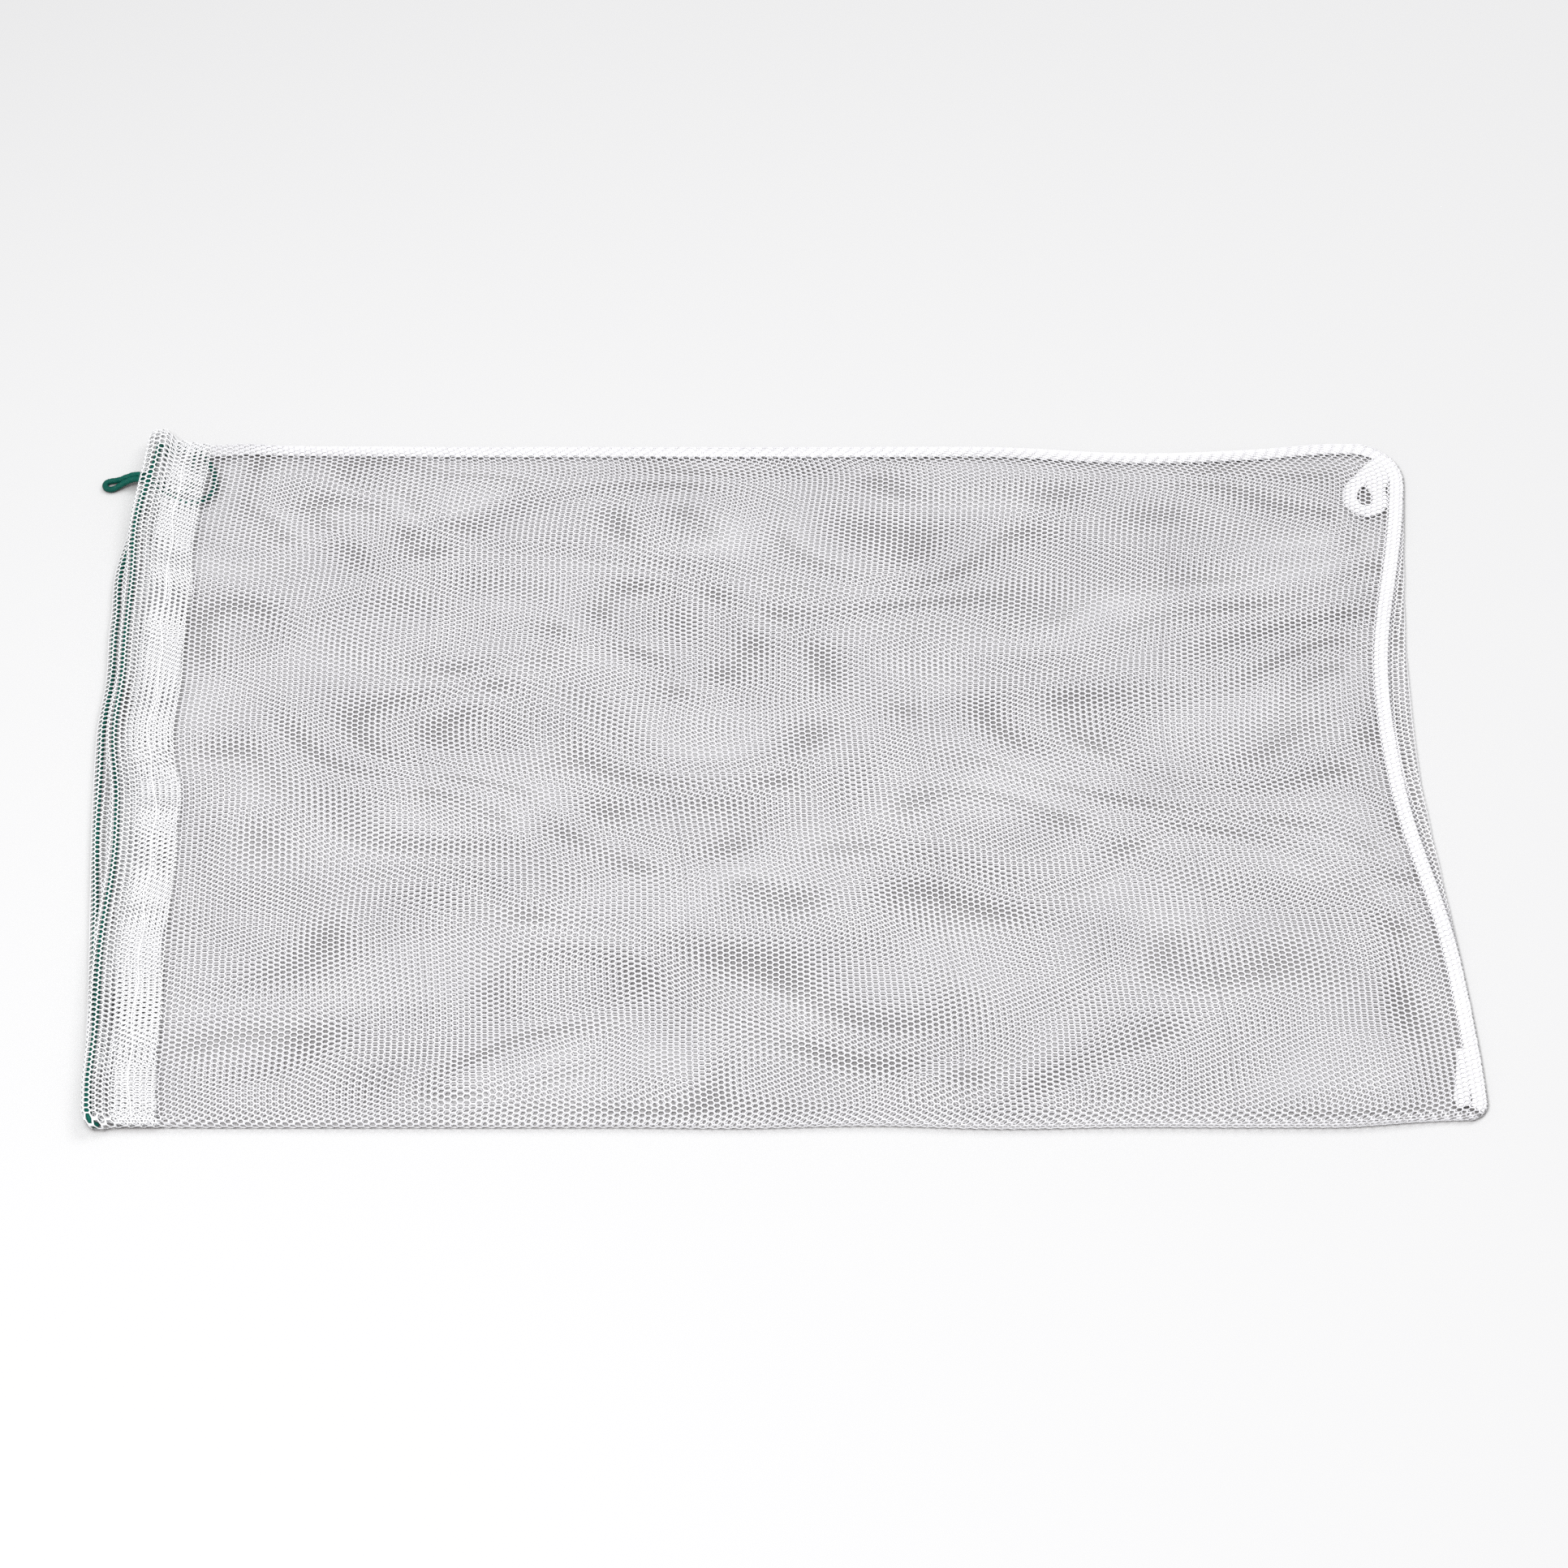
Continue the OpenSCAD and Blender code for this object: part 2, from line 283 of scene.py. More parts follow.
def from_fold(u, v):
    """Distance from the hem's fold, round the cord in it, the hem's depth, and what is tucked in."""
    nose = np.minimum(np.abs(u) / NOSE_R, math.pi / 2)
    out = NOSE_R * (1 - np.cos(nose)) + np.maximum(np.abs(u) - NOSE_QUARTER, 0)
    hem = hem_depth(v)
    tucked = u < -hem
    out = np.where(tucked, 2 * hem + u + NOSE_R - NOSE_QUARTER, out)
    return out, hem, tucked


def along_bag(out, y, side, top_share):
    """Along the bag, from the end seam round its turn: x, share of the height, and part turned in."""
    mouth = back_edge(y) + (front_edge(y) - back_edge(y)) * top_share
    end = end_edge(y)
    rolled = roll(y) * (END_QUARTER + ROLL_IN)
    length = end - END_R - mouth + END_QUARTER - side * rolled
    from_seam = length - out * length / CLOTH_LENGTH
    turned_in = np.maximum(-from_seam, 0)
    past_end = rolled + side * np.maximum(from_seam, 0)
    turn = np.clip(past_end, -END_QUARTER, END_QUARTER) / END_R
    x = end - END_R * (1 - np.cos(turn)) - np.maximum(np.abs(past_end) - END_QUARTER, 0) - turned_in
    return x, np.sin(turn), turned_in


def drifted(x, y, u, front, share, tucked):
    """Each layer has drifted a little in its own plane, and so has the part turned in at the hem."""
    loose = inside_share(x, y)
    rumple = rumpled(x, y) * front
    slide_x = np.where(front, waves(x, y, FRONT_SLIDE_X), waves(x, y, BACK_SLIDE_X))
    slide_y = np.where(front, waves(x, y, FRONT_SLIDE_Y), waves(x, y, BACK_SLIDE_Y))
    in_hem = np.where(u < 0, climb(np.abs(u), 0, 6), 0) * share
    phase = np.where(front, 0, 2) + 2.5 * tucked
    hem_x = in_hem * 0.6 * np.sin(y / 13.0 + phase)
    hem_y = in_hem * (0.6 + 0.8 * np.sin(y / 17.0 + x / 19.0 + 2 * phase))
    to_x = x + loose * slide_x + rumple * waves(x, y, RUMPLE_X) + hem_x
    to_y = y + loose * slide_y + rumple * waves(x, y, RUMPLE_Y) + hem_y
    return to_x, to_y


# The near fold's wave, how far the near corner is drawn in, and how far into the net both reach
NEAR_WAVE = 0.9
NEAR_WAVE_LENGTH = 131
NEAR_DRAWN_IN = 4.0
SIDE_REACH = 60
SEAM_REACH = 70


def side_lines(x, y):
    """y with the near fold's wavy line and its drawn-in closed end, and the far seam's sag."""
    wave = NEAR_WAVE * np.cos(2 * math.pi * (x + 24) / NEAR_WAVE_LENGTH) * bump(x, 60, 170)
    y = y - wave * (1 - climb(HALF_W + y, 0, SIDE_REACH))
    y = y + NEAR_DRAWN_IN * climb(x, 240, 60) * (1 - climb(HALF_W + y, 0, SIDE_REACH))
    return y - seam_sag(x) * climb(y - HALF_W, -SEAM_REACH, SEAM_REACH)


def hem_tip(out, y):
    """How far the hem sticks out at the mouth's far corner, in a blunt tip."""
    return 5.2 * np.exp(-((out - 6.2) / 6) ** 4) * climb(y, 165, 35)


def cloth(u, v):
    """Place on the bag of the cloth's point (u, v), in millimetres."""
    front = v >= 0
    side = np.where(front, 1, -1)
    y, share, lean, side_turned_in = around(v)
    top_share = (1 + side * share) / 2
    out, hem, tucked = from_fold(u, v)
    x, rise, end_turned_in = along_bag(out, y, side, top_share)
    x, y = drifted(x, y, u, front, share, tucked)
    y = side_lines(x, y)

    top = top_height(x, y)
    low = back_height(x, y)
    z = (top + low) / 2 + (top - low) / 2 * share * rise
    sunk = np.minimum(z, top - UNDER_NET)
    z = z + (sunk - z) * np.minimum(end_turned_in / 1.5, 1)
    z = z + side * LAYER_GAP / 2 * np.minimum(side_turned_in + end_turned_in, 1)

    offset = hem_offset(u, out, y, hem, top_share)
    y = y + offset * lean
    z = z + offset * side * share
    y = y + hem_tip(out, y) * np.where(side_turned_in > 0, 0.6, 1)
    return np.stack([x, y, z], -1)


# ---------------------------------------------------------------- meshes from arrays
def add_mesh(name, verts, quads, material, tris=None):
    """Mesh object from points in millimetres and four-cornered faces."""
    mesh = bpy.data.meshes.new(name)
    quads = np.asarray(quads, np.int32).reshape(-1, 4)
    tris = np.zeros((0, 3), np.int32) if tris is None else np.asarray(tris, np.int32)
    loops = np.concatenate([quads.ravel(), tris.ravel()])
    starts = np.concatenate([np.arange(len(quads)) * 4, len(quads) * 4 + np.arange(len(tris)) * 3])
    mesh.vertices.add(len(verts))
    mesh.vertices.foreach_set("co", (np.asarray(verts, np.float32) * MM).ravel())
    mesh.loops.add(len(loops))
    mesh.loops.foreach_set("vertex_index", loops.astype(np.int32))
    mesh.polygons.add(len(starts))
    mesh.polygons.foreach_set("loop_start", starts.astype(np.int32))
    mesh.update(calc_edges=True)
    mesh.polygons.foreach_set("use_smooth", np.ones(len(starts), bool))
    mesh.validate()
    mesh.materials.append(material)
    obj = bpy.data.objects.new(name, mesh)
    bpy.context.scene.collection.objects.link(obj)
    return obj


def unit(a):
    """Rows of numbers scaled to length 1."""
    return a / np.maximum(np.linalg.norm(a, axis=-1, keepdims=True), 1e-9)


def tube(path, radius, sides, up):
    """Points and faces of a closed tube; radius is a number, or a row of one number a side per ring."""
    path = np.asarray(path, float)
    rings = len(path)
    way = unit(np.gradient(path, axis=0))
    across = unit(np.cross(way, np.broadcast_to(up, way.shape)))
    upward = np.cross(across, way)
    angle = np.arange(sides) * 2 * math.pi / sides
    out = np.cos(angle)[None, :, None] * across[:, None] + np.sin(angle)[None, :, None] * upward[:, None]
    r = np.broadcast_to(np.asarray(radius, float), (rings, sides))[..., None]
    verts = (path[:, None] + r * out).reshape(-1, 3)
    verts = np.concatenate([verts, path[:1], path[-1:]])
    first = np.arange(rings - 1)[:, None] * sides
    i = np.arange(sides)
    j = (i + 1) % sides
    quads = np.stack([first + i, first + sides + i, first + sides + j, first + j], -1).reshape(-1, 4)
    start, end = rings * sides, rings * sides + 1
    last = (rings - 1) * sides
    tris = np.concatenate([np.stack([np.full(sides, start), i, j], -1),
                           np.stack([np.full(sides, end), last + j, last + i], -1)])
    return verts, quads, tris


def joined(parts):
    """One set of points, quads and triangles from several."""
    verts, quads, tris, base = [], [], [], 0
    for part_verts, part_quads, part_tris in parts:
        verts.append(part_verts)
        quads.append(part_quads + base)
        tris.append(part_tris + base)
        base += len(part_verts)
    return np.concatenate(verts), np.concatenate(quads), np.concatenate(tris)


def distances(line):
    """Distance along a line to each of its points."""
    return np.concatenate([[0], np.cumsum(np.linalg.norm(np.diff(line, axis=0), axis=1))])


def sampled(at, along, rows):
    """Rows of three numbers, known at the distances along, at other distances."""
    return np.stack([np.interp(at, along, rows[:, k]) for k in range(3)], -1)


SPAN_POINTS = 40


def smooth_path(points, step):
    """Catmull-Rom curve through the points, at about equal steps."""
    p = np.asarray(points, float)
    p = np.concatenate([2 * p[:1] - p[1:2], p, 2 * p[-1:] - p[-2:-1]])
    t = np.linspace(0, 1, SPAN_POINTS, endpoint=False)[:, None]
    spans = []
    for a, b, c, d in zip(p[:-3], p[1:-2], p[2:-1], p[3:]):
        spans.append(0.5 * (2 * b + (c - a) * t + (2 * a - 5 * b + 4 * c - d) * t ** 2
                            + (3 * b - a - 3 * c + d) * t ** 3))
    line = np.concatenate(spans + [p[-2:-1]])
    return even_path(line, step)


def even_path(line, step):
    """The same line with its points at equal steps."""
    along = distances(line)
    at = np.linspace(0, along[-1], max(2, int(round(along[-1] / step)) + 1))
    return sampled(at, along, line)


# ---------------------------------------------------------------- materials
def new_material(name):
    material = bpy.data.materials.new(name)
    material.use_nodes = True
    tree = material.node_tree
    return material, tree, tree.nodes["Principled BSDF"]


def add_node(tree, kind, **values):
    node = tree.nodes.new(kind)
    for key, value in values.items():
        if key in node.inputs:
            node.inputs[key].default_value = value
        else:
            setattr(node, key, value)
    return node


def fibre_material(name, dark, light, rough=0.5, sheen=0.2, grain=2600.0, bump_mm=0.05, specular=0.5):
    """Spun or knitted synthetic yarn: two close tones, fine filament bump and a soft sheen."""
    material, tree, shader = new_material(name)
    coords = add_node(tree, "ShaderNodeTexCoord")
    patches = add_node(tree, "ShaderNodeTexNoise", Scale=28.0, Detail=3.0)
    filaments = add_node(tree, "ShaderNodeTexNoise", Scale=grain, Detail=2.0)
    mixed = add_node(tree, "ShaderNodeMath", operation="ADD")
    ramp = add_node(tree, "ShaderNodeValToRGB")
    ramp.color_ramp.elements[0].position = 0.35
    ramp.color_ramp.elements[0].color = (*dark, 1)
    ramp.color_ramp.elements[1].position = 0.65
    ramp.color_ramp.elements[1].color = (*light, 1)
    half = add_node(tree, "ShaderNodeMath", operation="MULTIPLY")
    half.inputs[1].default_value = 0.5
    bump_node = add_node(tree, "ShaderNodeBump", Strength=0.5, Distance=bump_mm * MM)
    link = tree.links.new
    link(coords.outputs["Object"], patches.inputs["Vector"])
    link(coords.outputs["Object"], filaments.inputs["Vector"])
    link(patches.outputs["Fac"], mixed.inputs[0])
    link(filaments.outputs["Fac"], mixed.inputs[1])
    link(mixed.outputs[0], half.inputs[0])
    link(half.outputs[0], ramp.inputs["Fac"])
    link(ramp.outputs["Color"], shader.inputs["Base Color"])
    link(filaments.outputs["Fac"], bump_node.inputs["Height"])
    link(bump_node.outputs["Normal"], shader.inputs["Normal"])
    shader.inputs["Roughness"].default_value = rough
    shader.inputs["Sheen Weight"].default_value = sheen
    shader.inputs["Sheen Roughness"].default_value = 0.4
    shader.inputs["Specular IOR Level"].default_value = specular
    return material


NET = fibre_material("net_yarn", (0.735, 0.73, 0.757), (0.825, 0.819, 0.843))
# Painted light: the back net is the same yarn as the front, given a lighter tone to offset the shade it
# lies in under the front net
BACK_NET_PAINTED_LIGHT = fibre_material("back_net_painted_light", (0.82, 0.815, 0.836), (0.90, 0.894, 0.912))
# Painted light: the hem is the same net yarn, given a lighter tone to offset the shade between its pressed
# layers
HEM_NET_PAINTED_LIGHT = fibre_material("hem_net_painted_light", (0.82, 0.82, 0.84), (0.90, 0.90, 0.91))
THREAD = fibre_material("sewing_thread", (0.84, 0.837, 0.85), (0.90, 0.897, 0.908),
                        rough=0.6, grain=3200.0, bump_mm=0.06)
CORD = fibre_material("cord_braid", (0.0005, 0.042, 0.032), (0.002, 0.122, 0.09),
                      sheen=0.0, grain=3800.0, specular=0.15)


# Painted shade: the floor's colour is darkened where something lies this close over it
PAINTED_SHADE_REACH = 8.0


def painted_shade_floor_material():
    """Pale paper floor, with painted shade under the net: ambient occlusion darkens its colour."""
    material, tree, shader = new_material("floor_with_painted_shade")
    painted_shade_ao = add_node(tree, "ShaderNodeAmbientOcclusion", Distance=PAINTED_SHADE_REACH * MM, samples=8)
    # painted shade: the ramp turns the floor from pale in the open to dark where the net lies close over
    # it
    ramp = add_node(tree, "ShaderNodeValToRGB")
    ramp.color_ramp.elements[0].position = 0.38
    ramp.color_ramp.elements[0].color = (0.345, 0.333, 0.333, 1)
    ramp.color_ramp.elements[1].position = 0.7
    ramp.color_ramp.elements[1].color = (0.64, 0.64, 0.643, 1)
    tree.links.new(painted_shade_ao.outputs["AO"], ramp.inputs["Fac"])
    tree.links.new(ramp.outputs["Color"], shader.inputs["Base Color"])
    shader.inputs["Roughness"].default_value = 0.9
    return material


# ---------------------------------------------------------------- camera, floor and light
LOOK_AT = np.array([7.0, -9.9, 0.0])
CAMERA_FAR = 1974.0
CAMERA_ELEVATION = math.radians(51.0)
CAMERA_LENS = 99.4
FLOOR_HALF = 9000.0


def set_camera():
    data = bpy.data.cameras.new("camera")
    data.lens = CAMERA_LENS
    data.sensor_width = 36.0
    data.clip_end = 20.0
    camera = bpy.data.objects.new("camera", data)
    bpy.context.scene.collection.objects.link(camera)
    back = np.array([0, -math.cos(CAMERA_ELEVATION), math.sin(CAMERA_ELEVATION)])
    camera.location = (LOOK_AT + CAMERA_FAR * back) * MM
    camera.rotation_euler = (math.pi / 2 - CAMERA_ELEVATION, 0, 0)
    bpy.context.scene.camera = camera


def set_floor():
    verts = [(-FLOOR_HALF, -FLOOR_HALF, 0), (FLOOR_HALF, -FLOOR_HALF, 0),
             (FLOOR_HALF, FLOOR_HALF, 0), (-FLOOR_HALF, FLOOR_HALF, 0)]
    floor = add_mesh("floor", verts, [(0, 1, 2, 3)], painted_shade_floor_material())


def add_light(name, place, size, watts):
    """Round area light that points at the middle of the bag."""
    data = bpy.data.lights.new(name, "AREA")
    data.shape = "DISK"
    data.size = size * MM
    data.energy = watts
    light = bpy.data.objects.new(name, data)
    bpy.context.scene.collection.objects.link(light)
    light.location = np.array(place) * MM
    way = -np.array(place, float)
    flat = math.hypot(way[0], way[1])
    light.rotation_euler = (math.atan2(flat, -way[2]), 0, math.atan2(way[1], way[0]) - math.pi / 2)


def set_light():
    world = bpy.data.worlds.new("studio")
    world.use_nodes = True
    background = world.node_tree.nodes["Background"]
    background.inputs["Color"].default_value = (1.0, 1.0, 1.0, 1)
    background.inputs["Strength"].default_value = 0.55
    bpy.context.scene.world = world
    add_light("key", (-500, -800, 1950), 900, 38)
    add_light("fill", (900, 900, 1800), 1200, 14)
    bpy.context.scene.view_settings.view_transform = "Standard"
    # the net's cells are only a few pixels across, and the denoiser would smear them into grey
    bpy.context.scene.cycles.use_denoising = False


# ---------------------------------------------------------------- the drawstring
# The free loop, from the first lead round the bight to the second
LOOP_ROUTE = [
    (-282.5, 195.4, 6.2), (-280.8, 195, 6.2), (-277.6, 193, 6.2), (-273, 187.8, 6.2),
    (-268.8, 180.5, 6.2), (-266.7, 173, 6.2), (-267, 166.5, 6.2), (-270, 161.3, 6.2),
    (-275, 158.5, 6.2), (-280.5, 158.9, 6.2), (-286.3, 162.2, 6.2), (-291.5, 166.4, 6.2),
    (-296.5, 170.4, 6.2), (-301.3, 173.4, 6.1), (-306, 174.9, 5.2), (-310.5, 174.2, 3.7),
    (-313.8, 172.7, 2.4), (-316.9, 171.5, 1.6), (-319.6, 172.3, 1.4), (-320.5, 174.4, 1.35),
    (-319.3, 176.5, 1.4), (-316.5, 177.1, 1.6), (-313.4, 177, 2.5), (-310.5, 177.4, 3.7),
    (-306, 177.8, 5.2), (-301.3, 176.4, 6.1), (-296.5, 173.6, 6.2), (-291.5, 169.8, 6.2),
    (-287, 166, 6.2), (-283, 164.4, 6.2), (-279.4, 165.9, 6.2), (-277.6, 169.8, 6.2),
    (-277.4, 175, 6.2), (-277.6, 181, 6.2), (-278.2, 186.8, 6.2), (-279.5, 190.3, 6.2),
    (-280.9, 192, 6.2), (-282.5, 192.6, 6.2)]
LOOP_MESH_STEP = 0.16
LOOP_SWELL = 1.1

# The held cord: where it ends, and how deep in the hem it runs in front, behind and at the near fold
RUN_END_Y = 187.0
RUN_MESH_STEP = 0.3
FRONT_RUN_DEEP = 3.2
BACK_RUN_DEEP = 2.4
NEAR_RUN_DEEP = 2.8

# The two leads: how each sets out from the held cord, and its points up to the loop
FRONT_LEAD_SET_OUT = (0.4, 3.0, -0.9)
FRONT_LEAD = [(-293.2, 194.2, 6.6), (-290, 195.7, 5.4), (-286.5, 195.8, 5.6), (-284.5, 195.6, 6.0)]
BACK_LEAD_SET_OUT = (0.6, 2.6, 0.4)
BACK_LEAD = [(-296, 192.0, 3.2), (-291.5, 192.8, 4.2), (-287, 192.9, 5.6), (-284.8, 192.7, 6.1)]
LEAD_MESH_STEP = 0.2


def run_path():
    """The held cord: up the front hem, round the near fold and back in the back hem."""
    v_end = RUN_END_Y + HALF_W - NEAR_R + NEAR_QUARTER
    v = np.linspace(v_end, -v_end, 2400)
    y = around(v)[0]
    deep = np.where(v > 0, FRONT_RUN_DEEP + cord_shift(y), BACK_RUN_DEEP)
    deep = deep + (NEAR_RUN_DEEP - deep) * (1 - climb(np.abs(v), 2, 30))
    u = NOSE_QUARTER - NOSE_R + deep
    return even_path((cloth(u, v) + cloth(-u, v)) / 2, RUN_MESH_STEP)


def braid(path, radius, sides, step, up, carriers=8, lay=3.4, depth=0.11):
    """Braided cord: two sets of strands cross, and each rises where it passes over the other."""
    angle = np.arange(sides)[None] * 2 * math.pi / sides
    along = np.arange(len(path))[:, None] * step * 2 * math.pi / lay
    right = np.cos(carriers / 2 * angle + along)
    left = np.cos(carriers / 2 * angle - along)
    over = np.sign(np.sin(carriers / 2 * angle) * np.sin(along))
    height = np.where(over > 0, np.abs(right), np.abs(left))
    r = radius * (1 - depth + depth * 1.3 * height)
    return tube(path, r, sides, up)


def build_pull_loop():
    route = smooth_path(LOOP_ROUTE, LOOP_MESH_STEP)
    verts, quads, tris = braid(route, CORD_R * LOOP_SWELL, 28, LOOP_MESH_STEP, (0, 0, 1), depth=0.17)
    loop = add_mesh("pull_loop_braid", verts, quads, CORD, tris)
    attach(loop, "pull")
    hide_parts("pull_loop")


def build_held_cord(run):
    verts, quads, tris = braid(run, CORD_R, 18, RUN_MESH_STEP, (1, 0, 0))
    held = add_mesh("drawstring_braid", verts, quads, CORD, tris)
    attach(held, "bag")
    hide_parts("drawstring")


def build_leads(run):
    front = [run[0], run[0] + FRONT_LEAD_SET_OUT, *FRONT_LEAD, LOOP_ROUTE[0]]
    back = [run[-1], run[-1] + BACK_LEAD_SET_OUT, *BACK_LEAD, LOOP_ROUTE[-1]]
    paths = [smooth_path(points, LEAD_MESH_STEP) for points in (front, back)]
    verts, quads, tris = joined([braid(path, CORD_R, 20, LEAD_MESH_STEP, (0, 0, 1)) for path in paths])
    leads = add_mesh("lead_braid", verts, quads, CORD, tris)
    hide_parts("drawstring_leads")
    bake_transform(leads)


def build_cords():
    run = run_path()
    build_pull_loop()
    build_held_cord(run)
    build_leads(run)


# ---------------------------------------------------------------- the net
# Three ribs and three holes meet at a crossing.  It has 5 points: its top, its bottom, and a corner
# on each hole.  For each of the three ribs, these are the corners to the left and right of its
# first and of its second end.
POINTS = 5
BOTTOM = 1
FIRST_CORNERS = np.array([(3, 4), (2, 3), (4, 2)])
SECOND_CORNERS = np.array([(4, 3), (2, 4), (3, 2)])

# How far the ribs stop short of the raw edges, where the columns start, and a step to find slopes
RAW_EDGE = 0.6
COLUMN_START = 0.26
NORMAL_STEP = 0.05


class Lattice:
    """Every crossing and rib of the flat cloth, up to its raw edges."""

    def __init__(self):
        u_low = -HEM - TUCK
        u_high = CLOTH_LENGTH + SEAM_W - RAW_EDGE
        v_high = SEAM_V + SEAM_W - RAW_EDGE
        first = int(math.floor(u_low / COLUMN)) - 1
        columns = int(math.ceil(u_high / COLUMN)) + 2 - first
        rows = 2 * (int(math.ceil(v_high / ROW)) + 1)
        i = np.arange(columns)[:, None]
        j = np.arange(rows)[None]
        odd = i % 2
        u = (i + first + COLUMN_START) * COLUMN + 0 * j
        v = (j - rows // 2 + 0.5 * odd) * ROW
        # each hole (i, j) has a crossing at its right tip and one at its left tip, and every rib goes
        # from a right tip to a left one further on
        self.u = np.concatenate([(u + TIP).ravel(), (u - TIP).ravel()])
        self.v = np.concatenate([v.ravel(), v.ravel()])
        self.right = np.arange(2 * columns * rows) < columns * rows
        on_cloth = (self.u > u_low) & (self.u < u_high) & (np.abs(self.v) < v_high)
        ribs = []
        for slot, (columns_on, rows_on) in enumerate([(2, 0 * odd), (1, odd), (1, odd - 1)]):
            to_i, to_j = i + columns_on + 0 * j, j + rows_on
            inside = (to_i < columns) & (to_j >= 0) & (to_j < rows)
            start = (i * rows + j)[inside]
            end = columns * rows + (to_i * rows + to_j)[inside]
            keep = on_cloth[start] & on_cloth[end]
            ribs.append(np.stack([start[keep], end[keep], np.full(keep.sum(), slot)], -1))
        self.ribs = np.concatenate(ribs)


def corner_offsets():
    """Offsets in the cloth of the three hole corners round a right-hand crossing."""
    slope = math.atan2(ROW / 2, TIP - FLANK)
    tip = RIB_W / 2 / math.sin(slope)
    wide = (math.pi - slope) / 2
    side = RIB_W / 2 / math.sin(wide)
    return [(-tip, 0), (side * math.cos(wide), side * math.sin(wide)),
            (side * math.cos(wide), -side * math.sin(wide))]


def crossing_points(u, v, right):
    """The 5 points of every crossing, in a row of its own."""
    here = cloth(u, v)
    normal = unit(np.cross(cloth(u + NORMAL_STEP, v) - here, cloth(u, v + NORMAL_STEP) - here))
    points = [here + normal * RIB_T / 2, here - normal * RIB_T / 2]
    flip = np.where(right, 1, -1)
    for du, dv in corner_offsets():
        points.append(cloth(u + du * flip, v + dv))
    return np.stack(points, 1)


def rib_faces(ends, slot):
    """The four long faces of every rib."""
    a, b = ends[:, 0] * POINTS, ends[:, 1] * POINTS
    a_left, a_right = a + FIRST_CORNERS[slot, 0], a + FIRST_CORNERS[slot, 1]
    b_right, b_left = b + SECOND_CORNERS[slot, 0], b + SECOND_CORNERS[slot, 1]
    a_low, b_low = a + BOTTOM, b + BOTTOM
    return [np.stack(face, -1) for face in (
        (a, b, b_left, a_left), (a, a_right, b_right, b),
        (a_low, a_left, b_left, b_low), (a_low, b_low, b_right, a_right))]


def closing_faces(ends, slot, right):
    """One face at each crossing for every rib that it lacks, so that the net is closed."""
    faces = []
    for column, corners, which in ((0, FIRST_CORNERS, right), (1, SECOND_CORNERS, ~right)):
        crossings = np.nonzero(which)[0]
        for k in range(len(corners)):
            has = np.zeros(len(right), bool)
            has[ends[slot == k, column]] = True
            top = crossings[~has[crossings]] * POINTS
            faces.append(np.stack([top + BOTTOM, top + corners[k, 0], top, top + corners[k, 1]], -1))
    return faces


def net_piece(name, lattice, ribs, material):
    """One closed mesh of the given ribs."""
    used, inverse = np.unique(ribs[:, :2], return_inverse=True)
    ends = inverse.reshape(-1, 2)
    slot = ribs[:, 2]
    right = lattice.right[used]
    verts = crossing_points(lattice.u[used], lattice.v[used], right).reshape(-1, 3)
    quads = rib_faces(ends, slot) + closing_faces(ends, slot, right)
    return add_mesh(name, verts, np.concatenate(quads), material)


NET_PIECES = 5
NET_REPLACES = {
    "hem_net_front": ["front_casing", "mouth_near_fold"],
    "hem_net_back": ["back_casing", "mouth_far_turn"],
    "net_front_1": ["side_fold"],
    "net_front_3": ["front_net"],
    "net_front_4": ["side_turn", "side_seam_allowance"],
    "net_front_5": ["end_seam_allowance"],
    "net_back_3": ["back_net"],
    "net_back_5": ["end_turn"]}


def add_net(name, lattice, ribs, material):
    """One piece of the net: long millimetres of its length, and all of its width on one layer."""
    piece = net_piece(name, lattice, ribs, material)
    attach(piece, "bag")
    if name in NET_REPLACES:
        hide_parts(*NET_REPLACES[name])


def build_net():
    lattice = Lattice()
    ribs = lattice.ribs
    at = lattice.u[ribs[:, 0]]
    over_front = lattice.v[ribs[:, 0]] >= 0
    hem = at < HEM + 1
    long = (CLOTH_LENGTH + SEAM_W - HEM) / NET_PIECES
    part = np.clip(((at - HEM) / long).astype(int), 0, NET_PIECES - 1)
    # the back layer gets the lighter, painted-light copy of the front net's yarn
    for label, layer, yarn in (("back", ~over_front, BACK_NET_PAINTED_LIGHT), ("front", over_front, NET)):
        # the hem's layers get the lighter, painted-light copy of the net yarn
        add_net(f"hem_net_{label}", lattice, ribs[layer & hem], HEM_NET_PAINTED_LIGHT)
        for k in range(NET_PIECES):
            mine = ribs[layer & ~hem & (part == k)]
            add_net(f"net_{label}_{k + 1}", lattice, mine, yarn)


# ---------------------------------------------------------------- seams and stitches
# A band of overlock: its half width and thickness, its thread's pitch, and how much smaller its core is
BAND_HALF_W = 3.1
BAND_HALF_T = 0.45
WRAP_PITCH = 0.55
WRAP_R = 0.4
WRAP_SIDES = 5
TURN_POINTS = 10
WOBBLE = 0.05
CORE_INSET_W = 0.2
CORE_INSET_T = 0.05


def squared(wave):
    """Sine or cosine with full shoulders, so that a turn of thread lies flat on its band."""
    return np.sign(wave) * np.abs(wave) ** 0.6


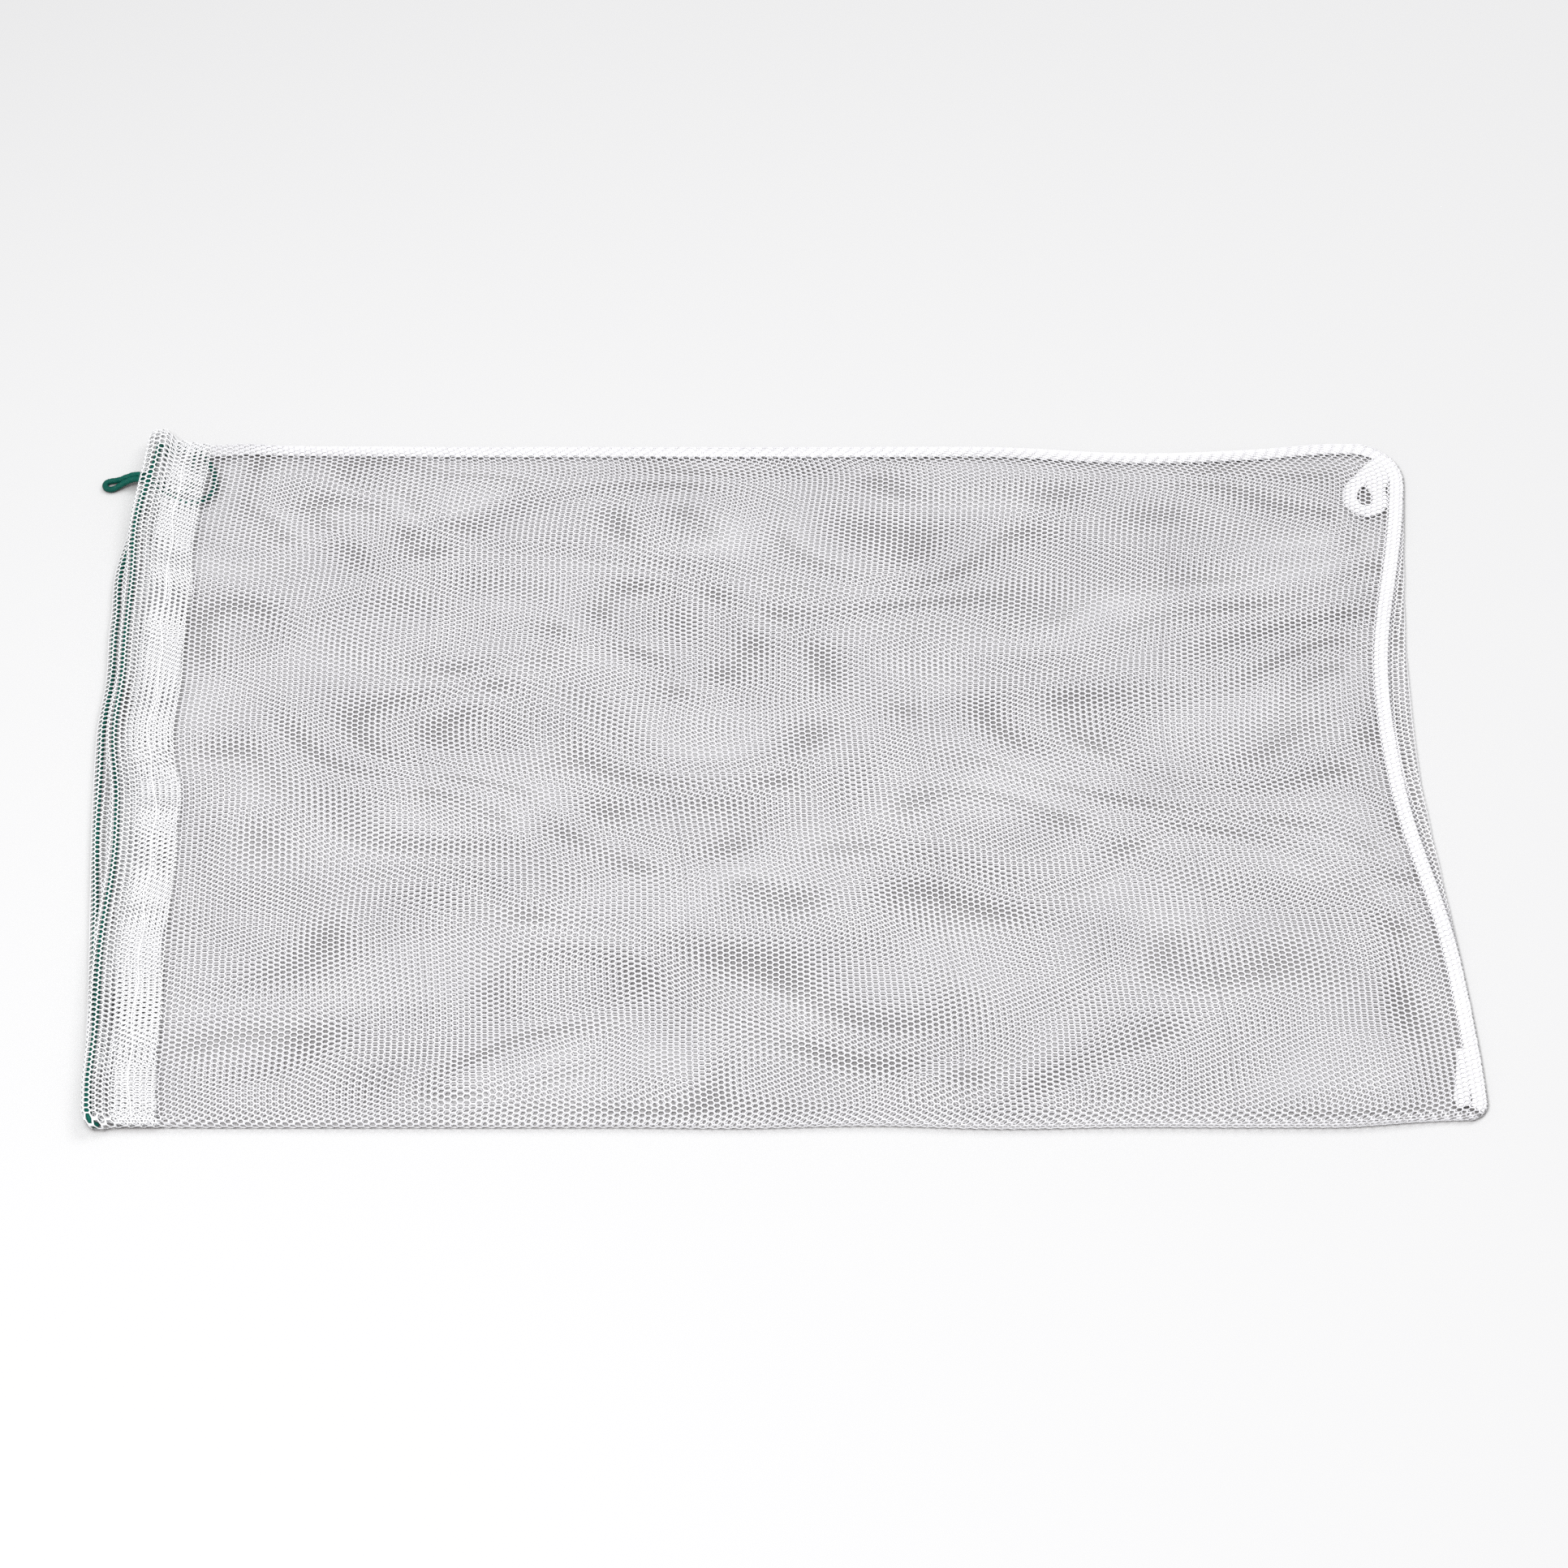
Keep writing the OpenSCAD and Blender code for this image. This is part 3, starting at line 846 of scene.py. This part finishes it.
def wrapped_band(path, across, lift, half_w):
    """Overlock thread laid round a flat band, turn beside turn."""
    along = distances(path)
    at = np.linspace(0, along[-1], int(along[-1] / WRAP_PITCH) * TURN_POINTS + 1)
    angle = np.arange(len(at)) * 2 * math.pi / TURN_POINTS
    every = np.arange(0, len(at) + TURN_POINTS // 2, TURN_POINTS // 2)
    wobble = np.random.default_rng(7).standard_normal(len(every))
    wobble = 1 + WOBBLE * np.interp(np.arange(len(at)), every, wobble)
    wide = squared(np.cos(angle)) * np.interp(at, along, half_w) * wobble
    thick = squared(np.sin(angle)) * BAND_HALF_T
    line = sampled(at, along, path) + sampled(at, along, across) * wide[:, None]
    line = line + sampled(at, along, lift) * thick[:, None]
    way = unit(np.gradient(path, axis=0))
    return tube(line, WRAP_R, WRAP_SIDES, unit(sampled(at, along, way)))


def band_core(path, across, lift, half_w):
    """Flat closed strip of doubled net inside the wrapped thread."""
    wide = half_w[:, None] - CORE_INSET_W
    thick = BAND_HALF_T - CORE_INSET_T
    corners = [(-wide, -thick), (-wide, thick), (wide, thick), (wide, -thick)]
    verts = np.stack([path + across * a + lift * b for a, b in corners], 1).reshape(-1, 3)
    first = np.arange(len(path) - 1)[:, None] * 4
    i = np.arange(4)[None]
    j = (i + 1) % 4
    quads = np.stack([first + i, first + j, first + 4 + j, first + 4 + i], -1).reshape(-1, 4)
    last = (len(path) - 1) * 4
    quads = np.concatenate([quads, [[3, 2, 1, 0], [last, last + 1, last + 2, last + 3]]])
    return verts, quads, np.zeros((0, 3), int)


def band_parts(path, across, lift, extra=0.0):
    """Wrapped thread and core of a band, extra millimetres wider on each side than a plain seam."""
    half_w = BAND_HALF_W + extra + np.zeros(len(path))
    return [wrapped_band(path, across, lift, half_w), band_core(path, across, lift, half_w)]


def add_band(name, parts, node):
    """One piece of thread from its parts, in place of a CAD node."""
    verts, quads, tris = joined(parts)
    band = add_mesh(name, verts, quads, THREAD, tris)
    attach(band, "bag")
    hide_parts(node)


# How far a band lies inside its seam, over it and into the net, and where the side seam's begins
BAND_INSIDE = 0.2
BAND_OVER_SEAM = 1.1
BAND_INTO_NET = 0.2
SIDE_BAND_START = 22.0
SEAM_MARGIN = 0.05


def edge_band(name, u, v, left, node):
    """Overlocked band just inside the seam that runs along the cloth's points (u, v)."""
    seam = cloth(u, v)
    way = unit(np.gradient(seam * (1, 1, 0), axis=0))
    upward = np.tile([0.0, 0.0, 1.0], (len(seam), 1))
    inward = np.cross(upward, way) * left
    path = seam + inward * (BAND_HALF_W + BAND_INSIDE)
    highest = top_height(path[:, 0], path[:, 1]) - UNDER_NET + BAND_INTO_NET
    path[:, 2] = np.minimum(seam[:, 2] + BAND_OVER_SEAM, highest)
    add_band(name, band_parts(path, inward, upward), node)


def build_seams():
    u_end = CLOTH_LENGTH - SEAM_MARGIN
    v_end = SEAM_V - SEAM_MARGIN
    u = np.linspace(SIDE_BAND_START, u_end, 700)
    edge_band("side_overlock_thread", u, np.full_like(u, v_end), -1, "side_seam_overlock")
    v = np.linspace(NEAR_QUARTER + 1, v_end, 600)
    edge_band("end_overlock_thread", np.full_like(v, u_end), v, 1, "end_seam_overlock")


# The seam's tails, seen from above: a ring at the far corner, and a short fold at the near one
CURL_ROUTE = [
    (297.5, 191.5), (290.5, 184), (285, 177), (280.6, 171), (278.9, 165), (280, 159.6), (283.8, 156.6),
    (288.4, 156.5), (292.2, 159.4), (293.6, 164.5), (293, 170), (292.6, 175), (294, 180.5), (297.6, 186.5)]
FOLDED_ROUTE = [
    (301.6, -160), (301.3, -167.2), (300.4, -174), (299.2, -180.5), (298.4, -186.1), (299.4, -189.6)]
CURL_EXTRA = 0.4
CURL_SPREAD = 2.3
FOLDED_EXTRA = 0.2
TAIL_STEP = 0.8


def flat_tail(route):
    """Path of a seam tail that lies under the front net, with its directions."""
    flat = smooth_path([(x, y, 0) for x, y in route], TAIL_STEP)
    way = unit(np.gradient(flat, axis=0))
    upward = np.tile([0.0, 0.0, 1.0], (len(flat), 1))
    flat[:, 2] = top_height(flat[:, 0], flat[:, 1]) - UNDER_NET
    return flat, np.cross(upward, way), upward


def build_tails():
    path, across, upward = flat_tail(CURL_ROUTE)
    share = np.linspace(0, 1, len(path))
    extra = CURL_EXTRA + CURL_SPREAD * climb(share, 0.76, 0.1)
    add_band("corner_tail_thread", band_parts(path, across, upward, extra), "corner_seam_tail")
    path, across, upward = flat_tail(FOLDED_ROUTE)
    add_band("near_tail_thread", band_parts(path, across, upward, FOLDED_EXTRA), "near_corner_seam_tail")


# The hem's stitches: their line, length, radius, and height over the net at their ends and middle
STITCH_LINE = 20.0
STITCH = 3.0
STITCH_R = 0.33
STITCH_BASE = 0.15
STITCH_RISE = 0.35


def build_hem_stitches():
    """Lockstitch through the hem: a wavy row of short raised stitches on both faces."""
    for label, sign in (("front", 1), ("back", -1)):
        v = np.arange(NEAR_QUARTER, SEAM_V - FAR_QUARTER, STITCH / 8)
        wander = 0.7 * np.sin(v / 5.2) + 0.5 * np.sin(v / 13.0 + 1.0)
        rise = STITCH_BASE + STITCH_RISE * np.sin(v * math.pi / STITCH) ** 2
        lines = []
        for face in (1, -1):
            u = face * (STITCH_LINE + NOSE_QUARTER - NOSE_R + wander)
            base = cloth(u, sign * v)
            out = unit(base - cloth(-u, sign * v))
            lines.append(tube(base + out * rise[:, None], STITCH_R, 6, (1, 0, 0)))
        verts, quads, tris = joined(lines)
        row = add_mesh(f"{label}_hem_thread", verts, quads, THREAD, tris)
        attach(row, "bag")
        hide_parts(f"{label}_hem_stitching")


set_camera()
build_cords()
set_floor()
set_light()
build_net()
build_seams()
build_tails()
build_hem_stitches()
